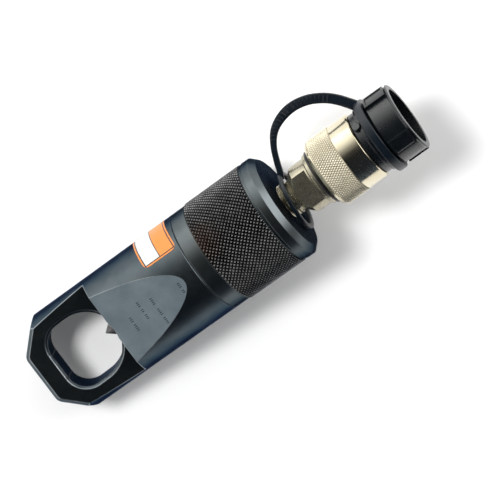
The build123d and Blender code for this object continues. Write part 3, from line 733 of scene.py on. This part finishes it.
# Strap: neck ring, arched band and cap ring, all one moulding
strap = {"route": [(45.2, 10.0), (46.9, 13.4), (48.7, 18.3), (51.6, 24.5), (55.8, 29.8), (61.6, 33.0),
                   (68.8, 34.3), (76.5, 33.0), (83.5, 29.3), (88.8, 24.4), (94.2, 17.0)],
         "width": (2.9, 4.9), "thickness": 2.6, "dashPitch": 1.9, "dashHeight": 0.2, "dashes": (0.27, 0.80),
         "neckRing": (43.1, 45.1, 15.2, 12.9), "drop": (-2.0, -3.2), "lean": 6.0,
         "capRing": (92.8, 96.8, 18.9, 14.5)}


def throughPoints(points, count):
    # smooth curve through a few points: a cubic between neighbours whose end slopes are half the chord
    # across each point
    points = np.asarray(points, float)
    padded = np.concatenate([2 * points[:1] - points[1:2], points, 2 * points[-1:] - points[-2:-1]])
    at = np.linspace(0, len(points) - 1, count)
    piece = np.minimum(at.astype(int), len(points) - 2)
    t = (at - piece)[:, None]
    a, b, c, d = (padded[piece + k] for k in range(4))
    bend, twist = 2 * a - 5 * b + 4 * c - d, 3 * b - a - 3 * c + d
    return 0.5 * (2 * b + (c - a) * t + bend * t ** 2 + twist * t ** 3)


def strapBand():
    # rounded rectangle carried along the arch, narrow at the neck and wide at the crest; low dashes stand
    # on its front where the wave along it and the distance from its middle allow
    s = strap
    line = throughPoints(s["route"], 380)
    along = np.gradient(line, axis=0)
    run = np.cumsum(np.linalg.norm(along, axis=1))[:, None]
    along /= np.linalg.norm(along, axis=1)[:, None]
    across = np.stack([-along[:, 1], along[:, 0]], 1)
    share = run / run[-1]
    narrow, wide = s["width"]
    grown = np.clip((share - 0.18) / 0.34, 0, 1)
    width = (narrow + (wide - narrow) * grown * grown * (3 - 2 * grown)) / 2
    angle = angles(56)[None, :]
    square = 0.42
    side = np.sign(np.cos(angle)) * np.abs(np.cos(angle)) ** square * width
    lift = np.sign(np.sin(angle)) * np.abs(np.sin(angle)) ** square * s["thickness"] / 2 * np.ones_like(side)
    first, last = s["dashes"]
    dash = np.clip(np.cos(turn * run / s["dashPitch"]) * 3, 0, 1) * ((share > first) & (share < last))
    dash = dash * np.clip((0.62 - np.abs(side) / width) / 0.12, 0, 1) * (np.sin(angle) > 0)
    lift = lift * 0.95 + dash * s["dashHeight"]
    points = toRow(line[:, :1] + across[:, :1] * side, line[:, 1:] + across[:, 1:] * side, lift)
    ends = points[[0, -1]].mean(1, keepdims=True).repeat(points.shape[1], 1)
    return gridMesh("strapBand", np.concatenate([ends[:1], points, ends[1:]]), aroundV=True, sharp=40)


def ringPiece(name, size, drop=(0.0, 0.0), lean=0.0, soft=0.6):
    # flat ring with rounded edges about a line beside the axis, leaning towards the hose end on the
    # strap's side
    x0, x1, outer, inner = size
    rows = softened([(x0, inner), (x0, outer), (x1, outer), (x1, inner)], soft)
    angle = angles(112)[None, :]
    middle, lean = (x0 + x1) / 2, math.radians(lean)
    x, y, z = rows[:, :1] - middle, rows[:, 1:] * np.sin(angle), rows[:, 1:] * np.cos(angle)
    x, y = x * math.cos(lean) + y * math.sin(lean), y * math.cos(lean) - x * math.sin(lean)
    return gridMesh(name, toRow(x + middle, y + drop[0], z + drop[1]), aroundU=True, aroundV=True, sharp=40)


band = strapBand()
band.data.materials.append(finish["strap_rubber"])
toRow(46.0, 0, 0).tolist()
toRow(90.0, 0, 0).tolist()
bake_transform(band)
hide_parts("cap_strap")
place(ringPiece("strapNeckRing", strap["neckRing"], strap["drop"], strap["lean"]), "tool_body",
      "strap_rubber")
place(ringPiece("strapCapRing", strap["capRing"]), "strap", "strap_rubber")
print("strap made")

# Plain two-tone sticker on the head's side: a pale and an orange panel, a thin dark line, an orange border
sticker = {"x": (-28.6, -10.2), "angles": (33.5, 92.0), "skew": -3.0, "corner": 3.0, "stand": 0.09,
           "radius": 26.4, "pale": (0.58, 0.58, 0.56), "orange": (0.72, 0.215, 0.035),
           "frame": (0.02, 0.02, 0.02), "split": 0.50, "frameWidth": 0.05}


def stickerFilm():
    # colour by the place on the sticker: marks hold the share along, the share across and the distance
    # from the rim
    s = sticker
    material, shader = surface("stickerFilm", IOR=1.5)
    shares = node(material, "Attribute", attribute_name="marks").outputs["Vector"]
    parts = node(material, "SeparateXYZ", {0: shares})
    tone = ramp(material, parts.outputs["X"], [(0.0, s["pale"]), (s["split"], s["frame"]),
                                               (s["split"] + 0.02, s["orange"])], steps=True)
    rim = ramp(material, parts.outputs["Z"], [(0.0, s["orange"]), (s["frameWidth"], s["frame"]),
                                              (1.8 * s["frameWidth"], (1.0, 1.0, 1.0))], steps=True)
    inside = ramp(material, parts.outputs["Z"], [(0.0, 0.0), (1.8 * s["frameWidth"], 1.0)], steps=True)
    colour = between(material, inside, rim, tone)
    spot = toolPlace(material)
    grime = ramp(material, noise(material, spot, 0.7, 6.0, 0.65), [(0.55, 0.0), (0.75, 0.35)])
    connect(material, between(material, grime, colour, (0.10, 0.10, 0.11, 1)), shader.inputs["Base Color"])
    rough = ramp(material, noise(material, spot, 2.0), [(0.3, 0.30), (0.7, 0.45)])
    connect(material, rough, shader.inputs["Roughness"])
    return material


def stickerPatch():
    # rounded rectangle of film bent round the head: rings shrink from its rim to its middle, on a top face
    # just proud of the steel and a bottom face on it
    s = sticker
    (x0, x1), (low, high) = s["x"], s["angles"]
    length, height = x1 - x0, math.radians(high - low) * s["radius"]
    half = np.array([length, height]) / 2
    square = softened(np.array([(-1, -1), (1, -1), (1, 1), (-1, 1)]) * half, s["corner"])
    steps = np.linspace(0, 1, 8)[:-1]
    rim = (square[:, None] + (np.roll(square, -1, 0) - square)[:, None] * steps[None, :, None]).reshape(-1, 2)
    scale = np.array([0.0, 0.25, 0.5, 0.7, 0.8, 0.86, 0.9, 0.93, 0.96, 1.0, 1.0, 0.9, 0.7, 0.4, 0.0])[:, None]
    top = (np.arange(scale.size) < 10)[:, None]
    along, over = scale * rim[None, :, 0], scale * rim[None, :, 1]
    angle = math.radians((low + high) / 2) + over / s["radius"]
    x = (x0 + x1) / 2 + along + s["skew"] * over / height
    points = around(x, s["radius"] + np.where(top, s["stand"], 0.01), angle)
    inner = np.minimum(half[0] - np.abs(along), half[1] - np.abs(over)) / half.max()
    marks = np.stack([along / length + 0.5, over / height + 0.5, np.clip(inner, 0, 1)], -1)
    piece = gridMesh("sticker", points, aroundV=True, sharp=50, marks=marks)
    piece.data.materials.append(stickerFilm())
    return piece


place(stickerPatch(), "tool_body", "blued_steel")
print("sticker made")

# Nodes of the CAD model that show as they are
shownAsCad = [n for n in frame["nodes"] if not frame["nodes"][n].hide_render]
slotOf = {part["node"]: part["material_slot"] for part in frame["record"]["subparts"]}
for name in shownAsCad:
    mesh = frame["nodes"][name].data
    mesh.materials.clear()
    mesh.materials.append(finish[slotOf[name]])
print("inner pieces finished:", len(shownAsCad))

# Floor, light and camera
scene = bpy.context.scene
scene.view_settings.view_transform = "Standard"
studio = {"floorSize": 8.0, "floorGlow": 0.10, "cameraPlace": (116.77, 95.63, 1120.13), "lens": 169.07,
          "strip": [(-90, (0.02, 0.04, 0.08)), (-76, (0.05, 0.065, 0.09)), (-55, (0.016, 0.02, 0.03)),
                    (0, (0.012, 0.014, 0.017)), (16, (0.05, 0.05, 0.05)), (32, (0.38, 0.38, 0.37)),
                    (44, (0.95, 0.95, 0.93)), (58, (1.5, 1.5, 1.46)), (72, (2.1, 2.1, 2.05)),
                    (86, (2.3, 2.3, 2.25)), (90, (1.9, 1.9, 1.86))],
          "nose": 0.95, "hose": 3.6, "beside": (0.85, 0.6), "noseWindow": ((-0.40, -0.62), (0.65, 0.35)),
          "hoseWindow": ((0.62, 0.92), (-0.52, -0.08), (0.80, 0.25)),
          "lampPlace": (-0.9, 1.25, 2.7), "lampSize": (0.8, 0.8), "lampRadiance": 38.0}


def backgroundRays(owner):
    # 1 for rays from the camera, from gloss and through glass
    path = node(owner, "LightPath")
    first = node(owner, "Math", {0: path.outputs["Is Camera Ray"], 1: path.outputs["Is Glossy Ray"]},
                 operation="MAXIMUM").outputs[0]
    glass = path.outputs["Is Transmission Ray"]
    return node(owner, "Math", {0: first, 1: glass}, operation="MAXIMUM").outputs[0]


def studioFloor():
    # pale sheet under the tool; it glows faintly to the camera and in gloss, so that it is white where it
    # is lit and keeps the shadow
    size = studio["floorSize"] / 2
    x, y = np.meshgrid(np.linspace(-size, size, 3), np.linspace(-size, size, 3), indexing="ij")
    floor = gridMesh("studioFloor", np.stack([x, y, np.full_like(x, -0.0003)], -1))
    material, shader = surface("paleFloor", Roughness=0.9)
    spot = node(material, "TexCoord").outputs["Object"]
    tint = ramp(material, noise(material, spot, 6.0), [(0.0, 0.84), (1.0, 0.88)])
    connect(material, tint, shader.inputs["Base Color"])
    shader.inputs["Emission Color"].default_value = (1, 1, 1, 1)
    glow = node(material, "Math", {0: backgroundRays(material), 1: studio["floorGlow"]}, operation="MULTIPLY")
    connect(material, glow.outputs[0], shader.inputs["Emission Strength"])
    floor.data.materials.append(material)
    if floor.data.polygons[0].normal.z < 0:
        floor.data.flip_normals()


def studioWorld():
    # soft boxes worked out by direction, in the tool's frame: a long one beside the tool whose light follows
    # the angle about the bore, one before the nose and one behind the hose end, all with soft borders
    world = bpy.data.worlds.new("studioWorld")
    scene.world = world
    world.use_nodes = True
    direction = node(world, "Mapping", {"Vector": node(world, "TexCoord").outputs["Generated"],
                                        "Rotation": (0, stance["tilt"], 0)}).outputs[0]
    x, y, z = node(world, "SeparateXYZ", {0: direction}).outputs

    def eased(value, start, end):
        return node(world, "MapRange", {"Value": value, "From Min": start, "From Max": end},
                    interpolation_type="SMOOTHSTEP").outputs["Result"]

    def times(a, b):
        return node(world, "Math", {0: a, 1: b}, operation="MULTIPLY").outputs[0]

    angle = node(world, "Math", {0: y, 1: z}, operation="ARCTAN2").outputs[0]
    share = node(world, "Math", {0: angle, 1: 1 / math.pi, 2: 0.5}, operation="MULTIPLY_ADD").outputs[0]
    strip = ramp(world, share, [(degrees / 180 + 0.5, colour) for degrees, colour in studio["strip"]])
    away = node(world, "Math", {0: x}, operation="ABSOLUTE").outputs[0]
    beside = eased(away, *studio["beside"])
    light = node(world, "VectorMath", {0: strip, "Scale": beside}, operation="SCALE").outputs[0]
    side = node(world, "Math", {0: y}, operation="ABSOLUTE").outputs[0]
    along, across = studio["noseWindow"]
    nose = times(times(eased(x, *along), eased(side, *across)), studio["nose"])
    along, low, high = studio["hoseWindow"]
    hose = times(times(eased(x, *along), times(eased(y, *low), eased(y, *high))), studio["hose"])
    ends = node(world, "Math", {0: nose, 1: hose}, operation="ADD").outputs[0]
    connect(world, node(world, "VectorMath", {0: light, 1: ends}, operation="ADD").outputs[0],
            world.node_tree.nodes["Background"].inputs["Color"])


def softLamp(name, where, size, radiance, inGloss=True):
    # rectangle of light that faces the tool; its power is radiance times pi times its area
    lamp = bpy.data.lights.new(name, "AREA")
    lamp.shape = "RECTANGLE"
    lamp.size, lamp.size_y = size
    lamp.energy = radiance * math.pi * size[0] * size[1]
    holder = bpy.data.objects.new(name, lamp)
    scene.collection.objects.link(holder)
    holder.visible_camera = False
    holder.visible_glossy = inGloss
    direction = np.array(where) / np.linalg.norm(where)
    side = np.cross([0, 0, 1.0], direction)
    side /= np.linalg.norm(side)
    up = np.cross(direction, side)
    rows = [[side[k], up[k], direction[k], where[k]] for k in range(3)]
    holder.matrix_world = Matrix(rows + [[0, 0, 0, 1]])


def photoCamera():
    # camera of the photograph, as three directions and a place
    right, up, back = (0.80344, -0.59529, 0.01065), (0.59265, 0.79791, -0.11005), (0.05701, 0.09473, 0.99387)
    where = [value / 1000 for value in studio["cameraPlace"]]
    camera = bpy.data.cameras.new("photoCamera")
    camera.lens = studio["lens"]
    camera.sensor_width = 36
    camera.clip_start, camera.clip_end = 0.01, 20
    holder = bpy.data.objects.new("photoCamera", camera)
    scene.collection.objects.link(holder)
    holder.matrix_world = Matrix([[right[k], up[k], back[k], where[k]] for k in range(3)] + [[0, 0, 0, 1]])
    scene.camera = holder


studioFloor()
studioWorld()
softLamp("keyLamp", studio["lampPlace"], studio["lampSize"], studio["lampRadiance"], inGloss=False)
photoCamera()
